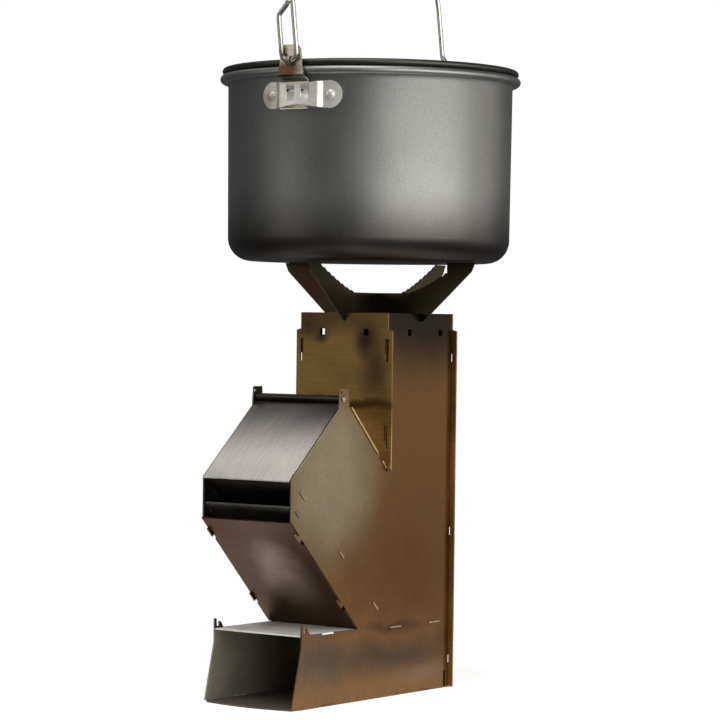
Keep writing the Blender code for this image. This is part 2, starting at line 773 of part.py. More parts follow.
def ear_rivets(prefix, turn, material):
    spread = math.degrees(RIVET_SPACING / 2 / POT_RADIUS)
    for label, side in (("left", -1), ("right", 1)):
        angle = turn + side * spread
        place = around_pot(angle, POT_RADIUS + CLEAR + SHEET + CLEAR, RIM - EAR_DROP)
        _, _, heading = facing(angle)
        rivet(f"{prefix}_rivet_{label}", place, (0, TURN_X, heading), RIVET_RADIUS, material)


def bail_strap(name, turn, material):
    """The strap that stands in the ear, passes over the bead and holds the loop of the bail."""
    edge = STRAP_WIDE + POT_RADIUS * math.radians(abs(EAR_TURN - BAIL_TURN))
    low = -EAR_DROP - ear_half_height(edge)
    above = -EAR_DROP + ear_half_height(edge) + CLEAR
    behind = POT_RADIUS + BRIDGE_RISE - SHEET / 2 - edge ** 2 / (2 * POT_RADIUS)
    front = STRAP_FACE + SHEET / 2
    foot = low - CLEAR - SHEET / 2
    path = [
        (behind + 0.0034, foot), (behind + 0.0010, foot), (behind, foot + 0.0010),
        (behind, above), (behind + 0.0012, above + 0.0016), (front - 0.0010, -0.0048), (front, -0.0030),
        (front, STRAP_TOP - 0.003), (front, STRAP_TOP),
    ]
    left, right = strip_sides(path, SHEET)
    sections = []
    for (r0, z0), (r1, z1), (_, height) in zip(left, right, path):
        share = min(1, max(0, (height - path[3][1]) / (STRAP_TOP - path[3][1])))
        half = STRAP_WIDE + (STRAP_NARROW - STRAP_WIDE) * share
        if height == STRAP_TOP:
            half -= 0.0020
        sections.append([(r0, -half, z0), (r0, half, z0), (r1, half, z1), (r1, -half, z1)])
    place = (*POT_PLACE, RIM)
    item = add_object(name, loft(sections), material, place, facing(turn))
    keeper = arc((LOOP_DISTANCE, LOOP_CENTRE - LOOP_RADIUS), KEEPER_RADIUS, 140, -140, 10)
    left, right = strip_sides(keeper, KEEPER_SHEET)
    outline = left + right[::-1]
    sides = (-KEEPER_WIDTH / 2, KEEPER_WIDTH / 2)
    combine(item, loft([[(r, across, z) for r, z in outline] for across in sides]), "UNION")
    return item


def bail_loop():
    """The long loop in front: the wire's tip beside the leg, down, round the loop and up the leg."""
    tip = LOOP_RADIUS - 2 * WIRE_RADIUS - LOOP_TIP_GAP
    points = [(tip, LOOP_NECK), (tip - LOOP_SLANT / 2, LOOP_NECK - LOOP_SLANT)]
    points += [(-LOOP_RADIUS + LOOP_SLANT / 4, LOOP_STRAIGHT + LOOP_SLANT), (-LOOP_RADIUS, LOOP_STRAIGHT)]
    points += arc((0, 0), LOOP_RADIUS, 180, 360, 10) + [(LOOP_RADIUS, LOOP_STRAIGHT)]
    return [(LOOP_DISTANCE, across, height) for across, height in points]


def bail_hook():
    """The short open hook at the back, from the leg down, round and up to the wire's tip."""
    points = [HOOK_LEG, (LOOP_RADIUS, HOOK_STRAIGHT)] + arc((0, 0), LOOP_RADIUS, 360, 180, 10)
    points += [(-LOOP_RADIUS, HOOK_TIP)]
    return [(-LOOP_DISTANCE, across, height) for across, height in points]


def bail(material):
    """One wire: a loop in front, a hoop over the pot and a hook behind; its origin is on the line of the loops."""
    steps = 28
    hoop = []
    for i in range(steps + 1):
        angle = math.pi * i / steps
        height = HOOP_START + HOOP_RISE * math.sin(angle)
        across = LOOP_RADIUS + (HOOK_LEG[0] - LOOP_RADIUS) * i / steps
        hoop.append((LOOP_DISTANCE * math.cos(angle), across, height))
    points = bail_loop() + hoop + bail_hook()
    _, _, heading = facing(BAIL_TURN)
    rotation = (math.radians(BAIL_LEAN), 0, heading)
    return wire("bail", points, WIRE_RADIUS, material, False, pot_place(RIM + LOOP_CENTRE), rotation)


# ---------------------------------------------------------------- the whole object

def build_stove():
    side = make_material("tinted_side_steel", (0.42, 0.33, 0.21), 0.32)
    wall = make_material("tinted_wall_steel", (0.40, 0.34, 0.20), 0.34)
    bright = make_material("brushed_steel", (0.62, 0.60, 0.58), 0.28)
    inside = make_material("sooted_steel", (0.12, 0.11, 0.10), 0.55)
    side_plate("side_plate_left", -HALF, side)
    side_plate("side_plate_right", INNER, side)
    face = CLEAR + SHEET / 2
    vents = (-FRONT_VENT_OFFSET, FRONT_VENT_OFFSET)
    along, _ = slope(THROAT, REAR_HEAD)
    above_throat = THROAT_HEIGHT + (SHEET + CLEAR) * abs(along.y / along.x) + 2 * CLEAR
    wall_plate("chimney_front_plate", FRONT - face, above_throat, FRONT_HOOKS, vents, wall)
    wall_plate("chimney_back_plate", BACK + face, CLEAR, BACK_HOOKS, (), wall)
    hopper_rear_plate(wall)
    hinge_pin(bright)
    hopper_lid(bright)
    fuel_ramp(inside)
    air_slat(bright)
    chute_plate(side)
    tray_top(bright)
    burn_grate(inside)
    tray_floor(inside)
    pot_supports(wall)


def build_pot():
    anodised = make_material("anodised_aluminium", (0.16, 0.17, 0.17), 0.38)
    bright = make_material("pot_steel", (0.66, 0.64, 0.61), 0.22)
    pot_body(anodised)
    pot_lid(anodised)
    lid_ring_parts(bright, bright)
    for label, half_turn in (("front", 0), ("back", 180)):
        pot_ear(f"ear_{label}", EAR_TURN + half_turn, bright)
        ear_rivets(f"ear_{label}", EAR_TURN + half_turn, bright)
        bail_strap(f"strap_{label}", BAIL_TURN + half_turn, bright)
    bail(bright)


clear_scene()
build_stove()
build_pot()
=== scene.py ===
"""A Blender add-on that dresses a plate rocket stove with its cooking pot and sets it in a pale studio."""

import math

import bmesh
import bpy
from mathutils import Matrix, Vector


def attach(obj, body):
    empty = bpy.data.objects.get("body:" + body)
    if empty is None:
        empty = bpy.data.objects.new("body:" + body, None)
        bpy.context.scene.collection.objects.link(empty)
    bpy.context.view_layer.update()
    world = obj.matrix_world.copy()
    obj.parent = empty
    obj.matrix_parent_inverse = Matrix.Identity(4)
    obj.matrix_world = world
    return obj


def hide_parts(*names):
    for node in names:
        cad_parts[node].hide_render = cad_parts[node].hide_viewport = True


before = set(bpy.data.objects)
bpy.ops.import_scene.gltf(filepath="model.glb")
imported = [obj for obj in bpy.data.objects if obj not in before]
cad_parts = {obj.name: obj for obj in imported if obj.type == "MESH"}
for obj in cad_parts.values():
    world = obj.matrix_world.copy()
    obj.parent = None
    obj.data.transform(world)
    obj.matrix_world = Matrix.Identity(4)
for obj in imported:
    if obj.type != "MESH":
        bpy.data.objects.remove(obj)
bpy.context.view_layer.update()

bl_info = {
    "name": "Plate rocket stove",
    "version": (1, 0, 0),
    "blender": (4, 5, 0),
    "location": "3D View > Sidebar > Stove",
    "description": "Builds the finished look of a rocket stove and its pot around the packed parts",
    "category": "Object",
}

# Pot's place and levels, in metres
POT_PLACE = (-0.0060, -0.0044)
POT_BASE = 0.3178
POT_HEIGHT = 0.1345
RIM = POT_BASE + POT_HEIGHT
LOOP_HEIGHT = RIM + 0.0125
RING_HEIGHT = 0.46535
EAR_HEIGHT = RIM - 0.0172
TURNS = 168

# Sheet metal shared by the pieces built here
SHEET = 0.0012
CLEAR = 0.0003
SMOOTH_ANGLE = 40.0

# Pot and its cover, measured from the outside of the wall or from the rim
FOOT_TAPER = 0.001
NECK_DROP = 0.006
BEAD_OUT = 0.0028
COVER_RISE = 0.0104
COVER_BEND = 0.0012
COVER_FLAT = 0.55
COVER_SHELF = (0.0085, 0.0065)
COVER_EDGE = (0.0021, 0.0059)
COVER_EDGE_RADIUS = 0.0024
COVER_EDGE_DROP = 0.0003
GROOVE_IN = 0.0036
GROOVE_WIDTH = 0.0034
GROOVE_DROP = 0.0045
GROOVE_LIP = (0.0014, 0.0035)

# Ears and rivets
EAR_SECTIONS = 96
EAR_TIP = 0.0002
EAR_SOFT = 0.0003
BRIDGE_FOOT = 0.0188
BRIDGE_RAMP = 0.0036
BRIDGE_RISE = 0.0026
SLOT_SIZE = (0.0066, 0.004, 0.0018)
SLOT_ACROSS = 0.0058
SLOT_UP = 0.0030
SLOT_DEPTH = 0.003
RIVET_ACROSS = 0.024
RIVET_RADIUS = 0.0034
RIVET_SEAT = 0.0018
RIVET_DOME = 0.5

# Bail and lid ring
WIRE_SIDES = 20
WIRE_BEND = 0.0012
HOOP_STEPS = 96
HOOP_START = 0.0465
LOOP_NECK = 0.0365
LOOP_STRAIGHT = 0.0255
LOOP_TIP_GAP = 0.0002
LOOP_SLANT = ((0.00125, 0.0340), (0.000625, 0.0280))
HOOK_LEG = (-0.0010, 0.0160)
HOOK_STRAIGHT = 0.0030
HOOK_TIP = 0.0065
RING_HALF = 0.0150
RING_REACH = 0.030
RING_POWER = 0.8
RING_STEPS = 48
SADDLE_RIVET_RADIUS = 0.0022
SADDLE_RIVET_ACROSS = 0.0105
SADDLE_RIVET_HEIGHT = 0.4651

# Hinge of the hopper lid, in the plane across the stove
PIN = (-0.094763, 0.218004)
LID_FOOT = (-0.154, 0.162)
LID_RIDGE = (-0.099, 0.2115)
LID_SLIDE = 0.0012
LID_STEPS = 24
CURL_RADIUS = 0.002
CURL = (-90, 195, 32)
PANEL = 0.0385

# Studio
TARGET = (0.00856, -0.03291, 0.2452)
CAMERA_PLACE = (1.2873, -1.7611, 0.2741)
CAMERA_ROLL = 0.72
LENS = 145.95
SENSOR = 36.0
MIDDLE = (0, 0, 0.30)
FLOOR_RADIUS = 1.2
FLOOR_DROP = 0.0002
FLOOR_FADE = (0.14, 0.42)
FLOOR_GLOW = 0.62
SURROUNDINGS = 0.09

STEEL_ROUGHNESS = 0.34
SOOT = "#1C1712"
ACROSS = ("X", 0.0389)
ALONG = ("Y", 0.0404)
SOOT_ABOVE = 0.052


# ---------------------------------------------------------------- small helpers

def linear(colour):
    """Scene-linear values of an sRGB hex colour."""
    values = [int(colour[i:i + 2], 16) / 255 for i in (1, 3, 5)]
    return [v / 12.92 if v <= 0.04045 else ((v + 0.055) / 1.055) ** 2.4 for v in values] + [1.0]


def add(tree, kind, sockets=None, **settings):
    """Add a node, set its properties, and fill or link its inputs by name or number."""
    item = tree.nodes.new(kind)
    for name, value in settings.items():
        setattr(item, name, value)
    for name, value in (sockets or {}).items():
        if isinstance(value, bpy.types.NodeSocket):
            tree.links.new(value, item.inputs[name])
        else:
            item.inputs[name].default_value = value
    return item


def new_material(name):
    """An empty node material with a Principled shader joined to its output."""
    material = bpy.data.materials.new(name)
    material.use_nodes = True
    tree = material.node_tree
    tree.nodes.clear()
    shader = add(tree, "ShaderNodeBsdfPrincipled")
    add(tree, "ShaderNodeOutputMaterial", {"Surface": shader.outputs[0]})
    return material, tree, shader


def mesh_object(name, bm):
    """Turn the bmesh into a smooth-shaded object with its hard edges kept, and free it."""
    bmesh.ops.recalc_face_normals(bm, faces=bm.faces)
    mesh = bpy.data.meshes.new(name)
    bm.to_mesh(mesh)
    bm.free()
    mesh.shade_smooth()
    mesh.set_sharp_from_angle(angle=math.radians(SMOOTH_ANGLE))
    item = bpy.data.objects.new(name, mesh)
    bpy.context.scene.collection.objects.link(item)
    return item


def baked(item, name):
    """The item's evaluated shape as a plain mesh; the item itself is removed."""
    bpy.context.view_layer.update()
    evaluated = item.evaluated_get(bpy.context.evaluated_depsgraph_get())
    mesh = bpy.data.meshes.new_from_object(evaluated)
    bpy.data.objects.remove(item, do_unlink=True)
    mesh.name = name
    result = bpy.data.objects.new(name, mesh)
    bpy.context.scene.collection.objects.link(result)
    return result


def finish_piece(item, material, body, slot, *nodes):
    """Give the piece its material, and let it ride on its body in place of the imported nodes."""
    item.data.materials.clear()
    item.data.materials.append(material)
    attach(item, body)
    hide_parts(*nodes)


def dress(material, slot, *nodes):
    """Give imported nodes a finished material; their shapes stay as packed."""
    for name in nodes:
        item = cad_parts[name]
        item.data.materials.clear()
        item.data.materials.append(material)


def arc(centre, radius, start, end, steps):
    """Points on an arc from one angle to another, in degrees."""
    angles = [math.radians(start + (end - start) * i / steps) for i in range(steps + 1)]
    return [(centre[0] + radius * math.cos(a), centre[1] + radius * math.sin(a)) for a in angles]


def strip_sides(path, thickness):
    """The two sides of a sheet of this thickness whose middle follows the path."""
    points = [Vector(p) for p in path]
    left, right = [], []
    for i, point in enumerate(points):
        before = (point - points[i - 1]).normalized() if i else (points[1] - point).normalized()
        after = (points[i + 1] - point).normalized() if i + 1 < len(points) else before
        bisector = (before + after).normalized()
        normal = Vector((-bisector.y, bisector.x))
        reach = thickness / 2 / max(0.5, bisector.dot(after))
        left.append(tuple(point + normal * reach))
        right.append(tuple(point - normal * reach))
    return left, right


def rounded(points, radius, steps=5):
    """The open path with each corner turned into a short curve."""
    path = [Vector(points[0])]
    for before, corner, after in zip(points, points[1:], points[2:]):
        corner = Vector(corner)
        start = Vector(before) - corner
        end = Vector(after) - corner
        reach = min(radius, start.length * 0.45, end.length * 0.45)
        start = corner + start.normalized() * reach
        end = corner + end.normalized() * reach
        for i in range(steps + 1):
            share = i / steps
            path.append(start.lerp(corner, share).lerp(corner.lerp(end, share), share))
    path.append(Vector(points[-1]))
    return path


def lathe(name, profile, height):
    """Turn a closed (radius, height) profile about the pot's axis."""
    bm = bmesh.new()
    rings = []
    for radius, z in profile:
        if radius < 1e-7:
            rings.append([bm.verts.new((*POT_PLACE, height + z))])
            continue
        ring = []
        for i in range(TURNS):
            angle = 2 * math.pi * i / TURNS
            x = POT_PLACE[0] + radius * math.cos(angle)
            y = POT_PLACE[1] + radius * math.sin(angle)
            ring.append(bm.verts.new((x, y, height + z)))
        rings.append(ring)
    pairs = list(zip(rings, rings[1:]))
    if len(rings[0]) > 1:
        pairs.append((rings[-1], rings[0]))
    for first, second in pairs:
        if len(first) == 1 and len(second) == 1:
            continue
        for i in range(TURNS):
            j = (i + 1) % TURNS
            corners = [first[i % len(first)], first[j % len(first)]]
            corners += [second[j % len(second)], second[i % len(second)]]
            bm.faces.new(list(dict.fromkeys(corners)))
    return mesh_object(name, bm)


def loft(name, sections):
    """A closed body through sections with as many points each."""
    bm = bmesh.new()
    loops = [[bm.verts.new(point) for point in section] for section in sections]
    bm.faces.new(loops[0][::-1])
    bm.faces.new(loops[-1])
    for first, second in zip(loops, loops[1:]):
        for i, vert in enumerate(first):
            j = (i + 1) % len(first)
            bm.faces.new((vert, first[j], second[j], second[i]))
    return mesh_object(name, bm)


# ---------------------------------------------------------------- Geometry Nodes

def group_with(name, inputs):
    """A Geometry Nodes group with a geometry input and output and the named inputs."""
    group = bpy.data.node_groups.new(name, "GeometryNodeTree")
    group.interface.new_socket("Geometry", in_out="INPUT", socket_type="NodeSocketGeometry")
    for label, kind, default in inputs:
        socket = group.interface.new_socket(label, in_out="INPUT", socket_type=kind)
        if default is not None:
            socket.default_value = default
    group.interface.new_socket("Geometry", in_out="OUTPUT", socket_type="NodeSocketGeometry")
    return group, add(group, "NodeGroupInput")


def finish_group(group, entry, geometry):
    """End the group: instances made real, smooth shading, and the material."""
    real = add(group, "GeometryNodeRealizeInstances", {0: geometry})
    shaded = add(group, "GeometryNodeSetShadeSmooth", {0: real.outputs[0]})
    coloured = add(group, "GeometryNodeSetMaterial",
                   {"Geometry": shaded.outputs[0], "Material": entry.outputs["Material"]})
    add(group, "NodeGroupOutput", {0: coloured.outputs[0]})


def wire_group():
    """Sweeps a round wire along a chain of edges."""
    group, entry = group_with("swept_wire", [
        ("Radius", "NodeSocketFloat", 0.00175),
        ("Sides", "NodeSocketInt", 20),
        ("Material", "NodeSocketMaterial", None),
    ])
    curve = add(group, "GeometryNodeMeshToCurve", {0: entry.outputs["Geometry"]})
    circle = add(group, "GeometryNodeCurvePrimitiveCircle",
                 {"Resolution": entry.outputs["Sides"], "Radius": entry.outputs["Radius"]})
    swept = add(group, "GeometryNodeCurveToMesh",
                {"Curve": curve.outputs[0], "Profile Curve": circle.outputs[0], "Fill Caps": True})
    finish_group(group, entry, swept.outputs[0])
    return group


def rivet_group():
    """Puts a domed rivet head on each point, facing along the point's normal."""
    group, entry = group_with("rivet_heads", [
        ("Radius", "NodeSocketFloat", 0.0034),
        ("Dome", "NodeSocketFloat", 0.5),
        ("Material", "NodeSocketMaterial", None),
    ])
    ball = add(group, "GeometryNodeMeshUVSphere",
               {"Segments": 32, "Rings": 20, "Radius": entry.outputs["Radius"]})
    scale = add(group, "ShaderNodeCombineXYZ", {0: 1.0, 1: 1.0, 2: entry.outputs["Dome"]})
    dome = add(group, "GeometryNodeTransform", {"Geometry": ball.outputs[0], "Scale": scale.outputs[0]})
    outward = add(group, "GeometryNodeInputNamedAttribute", {"Name": "outward"},
                  data_type="FLOAT_VECTOR")
    aim = add(group, "FunctionNodeAlignRotationToVector", {"Vector": outward.outputs[0]}, axis="Z")
    placed = add(group, "GeometryNodeInstanceOnPoints", {
        "Points": entry.outputs["Geometry"], "Instance": dome.outputs[0], "Rotation": aim.outputs[0],
    })
    finish_group(group, entry, placed.outputs[0])
    return group


def with_nodes(name, mesh, group, values):
    """Run a Geometry Nodes group on the mesh and keep the result as a plain mesh."""
    item = bpy.data.objects.new(name + "_source", mesh)
    bpy.context.scene.collection.objects.link(item)
    modifier = item.modifiers.new("Nodes", "NODES")
    modifier.node_group = group
    for socket in group.interface.items_tree:
        if socket.name in values:
            modifier[socket.identifier] = values[socket.name]
    return baked(item, name)


def chain_mesh(points, closed=False):
    """The points joined one after another by edges."""
    mesh = bpy.data.meshes.new("chain")
    edges = [(i, i + 1) for i in range(len(points) - 1)]
    if closed:
        edges.append((len(points) - 1, 0))
    mesh.from_pydata([tuple(p) for p in points], edges, [])
    return mesh


def point_mesh(places):
    """Loose points with the direction each one faces, as the attribute outward."""
    mesh = bpy.data.meshes.new("places")
    mesh.from_pydata([place for place, _ in places], [], [])
    outward = mesh.attributes.new("outward", "FLOAT_VECTOR", "POINT")
    for slot, (_, direction) in zip(outward.data, places):
        slot.vector = direction
    return mesh


# ---------------------------------------------------------------- materials

def patch(tree, point, colour, centre, reach, tint, soft=1.0, amount=1.0):
    """Mix a tint over the colour inside a soft ellipsoid: centre and reach in metres."""
    away = add(tree, "ShaderNodeVectorMath", {0: point, 1: centre}, operation="SUBTRACT")
    scaled = add(tree, "ShaderNodeVectorMath", {0: away.outputs[0], 1: reach}, operation="DIVIDE")
    distance = add(tree, "ShaderNodeVectorMath", {0: scaled.outputs[0]}, operation="LENGTH")
    share = add(tree, "ShaderNodeMapRange", {
        "Value": distance.outputs["Value"], "From Min": 1.0 - soft, "From Max": 1.0,
        "To Min": amount, "To Max": 0.0,
    }, interpolation_type="SMOOTHSTEP")
    mixed = add(tree, "ShaderNodeMix", {"Factor": share.outputs[0]}, data_type="RGBA")
    tree.links.new(colour, mixed.inputs[6])
    mixed.inputs[7].default_value = linear(tint)
    return mixed.outputs[2]


def brushed_steel(name, base, patches=(), roughness=STEEL_ROUGHNESS, streak=(60, 900, 900), grain=0.16,
                  wander=0.010, metallic=1.0, soot=()):
    """Brushed stainless sheet: streaks along the rolling, soft heat colours with some painted light and
    shade, and wavy reflections.
    """
    material, tree, shader = new_material(name)
    where = add(tree, "ShaderNodeTexCoord").outputs["Object"]
    # Slow noise that makes the edges of the heat colours and painted light wander by about a centimetre.
    drift = add(tree, "ShaderNodeTexNoise", {"Vector": where, "Scale": 22.0, "Detail": 3.0})
    shift = add(tree, "ShaderNodeVectorMath", {0: drift.outputs["Color"], 1: (0.5, 0.5, 0.5)},
                operation="SUBTRACT")
    moved = add(tree, "ShaderNodeVectorMath", {0: shift.outputs[0], 1: (wander * 2,) * 3, 2: where},
                operation="MULTIPLY_ADD")
    point = moved.outputs[0]
    colour = add(tree, "ShaderNodeRGB").outputs[0]
    colour.default_value = linear(base)
    for centre, reach, tint, soft, amount in patches:
        colour = patch(tree, point, colour, centre, reach, tint, soft, amount)
    if soot:
        # Soot on the faces turned to the fire: above the grate and nearer the middle than each of these.
        apart = add(tree, "ShaderNodeSeparateXYZ", {0: where})
        share = add(tree, "ShaderNodeMath", {0: apart.outputs[2], 1: SOOT_ABOVE},
                    operation="GREATER_THAN").outputs[0]
        for axis, inside in soot:
            reach = add(tree, "ShaderNodeMath", {0: apart.outputs[axis]}, operation="ABSOLUTE")
            facing = add(tree, "ShaderNodeMath", {0: reach.outputs[0], 1: inside}, operation="LESS_THAN")
            share = add(tree, "ShaderNodeMath", {0: facing.outputs[0], 1: share},
                        operation="MULTIPLY").outputs[0]
        mixed = add(tree, "ShaderNodeMix", {"Factor": share}, data_type="RGBA")
        tree.links.new(colour, mixed.inputs[6])
        mixed.inputs[7].default_value = linear(SOOT)
        colour = mixed.outputs[2]
    # Brushing: lines about a millimetre apart that run along the sheet.
    lines_at = add(tree, "ShaderNodeMapping", {"Vector": where, "Scale": streak})
    lines = add(tree, "ShaderNodeTexNoise", {"Vector": lines_at.outputs[0], "Scale": 1.0, "Detail": 4.0,
                                             "Roughness": 0.7})
    # Stains: cloudy marks two or three centimetres across, left by handling and heat.
    stains = add(tree, "ShaderNodeTexNoise", {"Vector": where, "Scale": 45.0, "Detail": 6.0,
                                              "Roughness": 0.62})
    line_share = add(tree, "ShaderNodeMapRange", {"Value": lines.outputs[0], "From Min": 0.3, "From Max": 0.7,
                                                  "To Min": 1.0 - grain, "To Max": 1.0 + grain})
    stain_share = add(tree, "ShaderNodeMapRange", {"Value": stains.outputs[0], "From Min": 0.3,
                                                   "From Max": 0.7, "To Min": 0.86, "To Max": 1.14})
    both = add(tree, "ShaderNodeMath", {0: line_share.outputs[0], 1: stain_share.outputs[0]},
               operation="MULTIPLY")
    toned = add(tree, "ShaderNodeVectorMath", {0: colour, "Scale": both.outputs[0]}, operation="SCALE")
    rough = add(tree, "ShaderNodeMapRange", {"Value": stains.outputs[0], "From Min": 0.3, "From Max": 0.7,
                                             "To Min": roughness - 0.05, "To Max": roughness + 0.08})
    # The sheet isn't quite flat after heating: slow waves a few centimetres long bend its reflections.
    waves = add(tree, "ShaderNodeTexNoise", {"Vector": where, "Scale": 16.0, "Detail": 1.0})
    edges = add(tree, "ShaderNodeBevel", {"Radius": 0.00035}, samples=4)
    bent = add(tree, "ShaderNodeBump", {"Height": waves.outputs[0], "Strength": 0.35, "Distance": 0.004,
                                        "Normal": edges.outputs[0]})
    fine = add(tree, "ShaderNodeBump", {"Height": lines.outputs[0], "Strength": 0.12, "Distance": 0.0002,
                                        "Normal": bent.outputs[0]})
    tree.links.new(toned.outputs[0], shader.inputs["Base Color"])
    tree.links.new(rough.outputs[0], shader.inputs["Roughness"])
    tree.links.new(fine.outputs[0], shader.inputs["Normal"])
    shader.inputs["Metallic"].default_value = metallic
    return material


def anodised_aluminium(name, wall, foot, roughness):
    """Hard-anodised spun aluminium: fine turned rings round the wall, darker and browner towards the base."""
    material, tree, shader = new_material(name)
    where = add(tree, "ShaderNodeTexCoord").outputs["Object"]
    level = add(tree, "ShaderNodeSeparateXYZ", {0: where}).outputs[2]
    clouds = add(tree, "ShaderNodeTexNoise", {"Vector": where, "Scale": 14.0, "Detail": 4.0})
    wavy = add(tree, "ShaderNodeMath", {0: clouds.outputs[0], 1: 0.03, 2: level}, operation="MULTIPLY_ADD")
    share = add(tree, "ShaderNodeMapRange", {"Value": wavy.outputs[0], "From Min": POT_BASE + 0.012,
                                             "From Max": POT_BASE + 0.075, "To Min": 1.0, "To Max": 0.0},
                interpolation_type="SMOOTHSTEP")
    mixed = add(tree, "ShaderNodeMix", {"Factor": share.outputs[0]}, data_type="RGBA")
    mixed.inputs[6].default_value = linear(wall)
    mixed.inputs[7].default_value = linear(foot)
    # Turned rings: rows about half a millimetre apart that follow the wall's height.
    rows_at = add(tree, "ShaderNodeMapping", {"Vector": where, "Scale": (6, 6, 1600)})
    rows = add(tree, "ShaderNodeTexNoise", {"Vector": rows_at.outputs[0], "Scale": 1.0, "Detail": 2.0})
    speckle = add(tree, "ShaderNodeTexNoise", {"Vector": where, "Scale": 900.0, "Detail": 2.0})
    tone = add(tree, "ShaderNodeMapRange", {"Value": speckle.outputs[0], "From Min": 0.3, "From Max": 0.7,
                                            "To Min": 0.90, "To Max": 1.10})
    toned = add(tree, "ShaderNodeVectorMath", {0: mixed.outputs[2], "Scale": tone.outputs[0]},
                operation="SCALE")
    rough = add(tree, "ShaderNodeMapRange", {"Value": clouds.outputs[0], "From Min": 0.3, "From Max": 0.7,
                                             "To Min": roughness - 0.04, "To Max": roughness + 0.05})
    fine = add(tree, "ShaderNodeBump", {"Height": rows.outputs[0], "Strength": 0.10, "Distance": 0.0002})
    tree.links.new(toned.outputs[0], shader.inputs["Base Color"])
    tree.links.new(rough.outputs[0], shader.inputs["Roughness"])
    tree.links.new(fine.outputs[0], shader.inputs["Normal"])
    shader.inputs["Metallic"].default_value = 1.0
    return material


# ---------------------------------------------------------------- sizes and colours

class PotSizes(bpy.types.PropertyGroup):
    radius: bpy.props.FloatProperty(name="Radius", description="Outside of the wall", default=0.106,
                                    unit="LENGTH")
    wall: bpy.props.FloatProperty(name="Wall", description="Thickness of the wall", default=0.0018,
                                  unit="LENGTH")
    corner: bpy.props.FloatProperty(name="Corner", description="Radius between base and wall", default=0.017,
                                    unit="LENGTH")
    bead: bpy.props.FloatProperty(name="Bead", description="Radius of the rolled edge", default=0.0032,
                                  unit="LENGTH")


class WireSizes(bpy.types.PropertyGroup):
    radius: bpy.props.FloatProperty(name="Radius", description="Radius of the wire", default=0.00175,
                                    unit="LENGTH")
    reach: bpy.props.FloatProperty(name="Reach", description="From the pot's axis to a loop's middle",
                                   default=0.11665, unit="LENGTH")
    loop: bpy.props.FloatProperty(name="Loop", description="Radius of the loop at each end", default=0.0062,
                                  unit="LENGTH")
    rise: bpy.props.FloatProperty(name="Rise", description="Height of the hoop above its straight ends",
                                  default=0.095, unit="LENGTH")
    lean: bpy.props.FloatProperty(name="Lean", description="Lean of the bail from upright",
                                  default=math.radians(6), subtype="ANGLE")
    turn: bpy.props.FloatProperty(name="Turn", description="Turn of the bail about the pot",
                                  default=math.radians(6.4), subtype="ANGLE")


class EarSizes(bpy.types.PropertyGroup):
    length: bpy.props.FloatProperty(name="Length", description="End to end", default=0.065, unit="LENGTH")
    end: bpy.props.FloatProperty(name="End", description="Radius of each round end", default=0.0098,
                                 unit="LENGTH")
    waist: bpy.props.FloatProperty(name="Waist", description="Half height at the middle", default=0.0076,
                                   unit="LENGTH")
    turn: bpy.props.FloatProperty(name="Turn", description="Turn about the pot", default=math.radians(8),
                                  subtype="ANGLE")


class StoveSettings(bpy.types.PropertyGroup):
    pot: bpy.props.PointerProperty(name="Pot", description="Sizes of the pot", type=PotSizes)
    wire: bpy.props.PointerProperty(name="Wire", description="Sizes of the bail and ring", type=WireSizes)
    ear: bpy.props.PointerProperty(name="Ear", description="Sizes of the ears", type=EarSizes)


# ---------------------------------------------------------------- operators

class STOVE_OT_plates(bpy.types.Operator):
    """Give the flat sheets of the stove their heat-tinted steel, with some painted light and shade"""
    bl_idname = "stove.plates"
    bl_label = "Sheets"

    def execute(self, context):
        for name, base, finish, slot, nodes in SHEETS:
            dress(brushed_steel(name, base, **finish), slot, *nodes)
        return {"FINISHED"}


class STOVE_OT_hopper_lid(bpy.types.Operator):
    """Build the hopper lid with its smooth curl, and give its pin a finished material"""
    bl_idname = "stove.hopper_lid"
    bl_label = "Hopper lid"

    def execute(self, context):
        pin = Vector(PIN)
        foot = Vector(LID_FOOT)
        along = (Vector(LID_RIDGE) - foot).normalized()
        normal = Vector((-along.y, along.x))
        length = (pin - foot).dot(along) + LID_SLIDE
        flat = [(-length * (1 - i / LID_STEPS), -CURL_RADIUS) for i in range(LID_STEPS)]
        path = flat + arc((0, 0), CURL_RADIUS, *CURL)
        left, right = strip_sides(path, SHEET)
        outline = [pin + along * y + normal * z for y, z in left + right[::-1]]
        item = loft("hopper_lid_sheet", [[(side * PANEL, p.x, p.y) for p in outline] for side in (-1, 1)])
        # The lid's colour carries painted light: a bright base for its lower part and painted shade over its
        # upper part.
        material = brushed_steel("brushed_lid_sheet_painted_light_and_shade", "#D9D3CD", LID_PAINTED_SHADE, roughness=0.36,
                                 streak=(900, 40, 40), wander=0.006)
        finish_piece(item, material, "hopper_lid", "brushed_steel", "hopper_lid")
        dress(brushed_steel("turned_pin", "#B8B2AA"), "brushed_steel", "hinge_pin")
        return {"FINISHED"}


